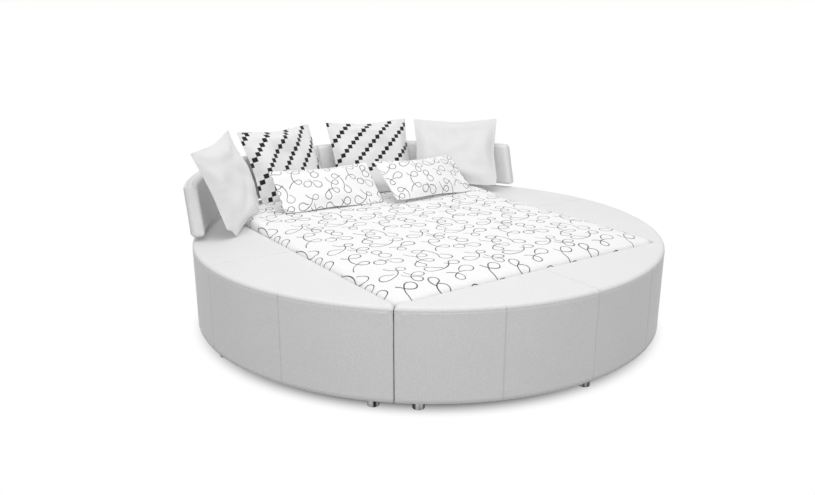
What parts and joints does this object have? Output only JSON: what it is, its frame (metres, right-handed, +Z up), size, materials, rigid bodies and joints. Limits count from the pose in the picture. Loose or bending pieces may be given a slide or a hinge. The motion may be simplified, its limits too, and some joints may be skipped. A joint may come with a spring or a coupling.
{
  "type": "round bed",
  "caption": "Round platform bed: a ring of padded modules on short round feet round a slatted mattress well, with a low curved headboard, a covered mattress and loose cushions.",
  "frame": {"origin": "on the floor, at the middle of the round base, on the underside of the middle leg's foot plug", "axes": "+X to the right seen from the foot end, +Y towards the head end and the headboard, +Z up"},
  "size_m": [2.8, 2.8708, 1.0953],
  "materials": {
    "leatherette": "satin",
    "foam": "matte",
    "plywood": "matte",
    "pine": "matte",
    "beech": "satin",
    "plastic": "matte",
    "chrome": "polished",
    "zinc_steel": "satin",
    "painted_steel": "satin",
    "ticking": "matte",
    "printed_cotton": "matte",
    "plain_cloth": "satin",
    "squares_cloth": "matte"
  },
  "bodies": {
    "root": {"beam_legs": "painted_steel", "feet": "chrome", "foot_base_board": "plywood", "foot_cover": "leatherette", "foot_glides": "plastic", "foot_inner_wall": "plywood", "foot_outer_wall": "plywood", "foot_padding": "foam", "foot_rail": "pine", "foot_ribs": "pine", "foot_studs": "zinc_steel", "foot_top_board": "plywood", "head_base_board": "plywood", "head_cover": "leatherette", "head_inner_wall": "plywood", "head_outer_wall": "plywood", "head_padding": "foam", "head_rail": "pine", "head_ribs": "pine", "head_top_board": "plywood", "headboard_bolts": "zinc_steel", "headboard_left_board": "plywood", "headboard_left_cover": "leatherette", "headboard_left_foam": "foam", "headboard_posts": "painted_steel", "headboard_right_board": "plywood", "headboard_right_cover": "leatherette", "headboard_right_foam": "foam", "joining_plates": "zinc_steel", "joining_screws": "zinc_steel", "left_base_board": "plywood", "left_cover": "leatherette", "left_inner_wall": "plywood", "left_outer_wall": "plywood", "left_padding": "foam", "left_rail": "pine", "left_ribs": "pine", "left_top_board": "plywood", "leg_plugs": "plastic", "middle_beam": "pine", "rail_screws": "zinc_steel", "right_base_board": "plywood", "right_cover": "leatherette", "right_inner_wall": "plywood", "right_outer_wall": "plywood", "right_padding": "foam", "right_rail": "pine", "right_ribs": "pine", "right_top_board": "plywood", "slat_caps": "plastic", "slats": "beech"},
    "mattress": {"mattress": "ticking", "bedspread": "printed_cotton"},
    "left_cushion_body": {"left_cushion": "plain_cloth"},
    "left_square_cushion_body": {"left_square_cushion": "squares_cloth"},
    "right_square_cushion_body": {"right_square_cushion": "squares_cloth"},
    "right_cushion_body": {"right_cushion": "plain_cloth"},
    "left_pillow_body": {"left_pillow": "printed_cotton"},
    "right_pillow_body": {"right_pillow": "printed_cotton"},
    "middle_pillow_body": {"middle_pillow": "plain_cloth"}
  },
  "joints": [
    {"name": "mattress_lift", "type": "slide", "parent": "root", "child": "mattress", "axis": [0, 0, 1], "range_m": [0, 0.3]},
    {"name": "left_cushion_lift", "type": "slide", "parent": "mattress", "child": "left_cushion_body", "axis": [-0.255, 0.2353, 0.9379], "range_m": [0, 0.2]},
    {"name": "left_square_cushion_lift", "type": "slide", "parent": "root", "child": "left_square_cushion_body", "axis": [-0.1039, 0.4499, 0.887], "range_m": [0, 0.2]},
    {"name": "right_square_cushion_lift", "type": "slide", "parent": "root", "child": "right_square_cushion_body", "axis": [0.1235, 0.4609, 0.8788], "range_m": [0, 0.2]},
    {"name": "right_cushion_lift", "type": "slide", "parent": "mattress", "child": "right_cushion_body", "axis": [0.3409, 0.4523, 0.8241], "range_m": [0, 0.2]},
    {"name": "left_pillow_lift", "type": "slide", "parent": "mattress", "child": "left_pillow_body", "axis": [0.0801, 0.7618, 0.6428], "range_m": [0, 0.18]},
    {"name": "right_pillow_lift", "type": "slide", "parent": "mattress", "child": "right_pillow_body", "axis": [0, 0, 1], "range_m": [0, 0.2]},
    {"name": "middle_pillow_lift", "type": "slide", "parent": "mattress", "child": "middle_pillow_body", "axis": [0, 0.788, 0.6157], "range_m": [0, 0.1]}
  ]
}
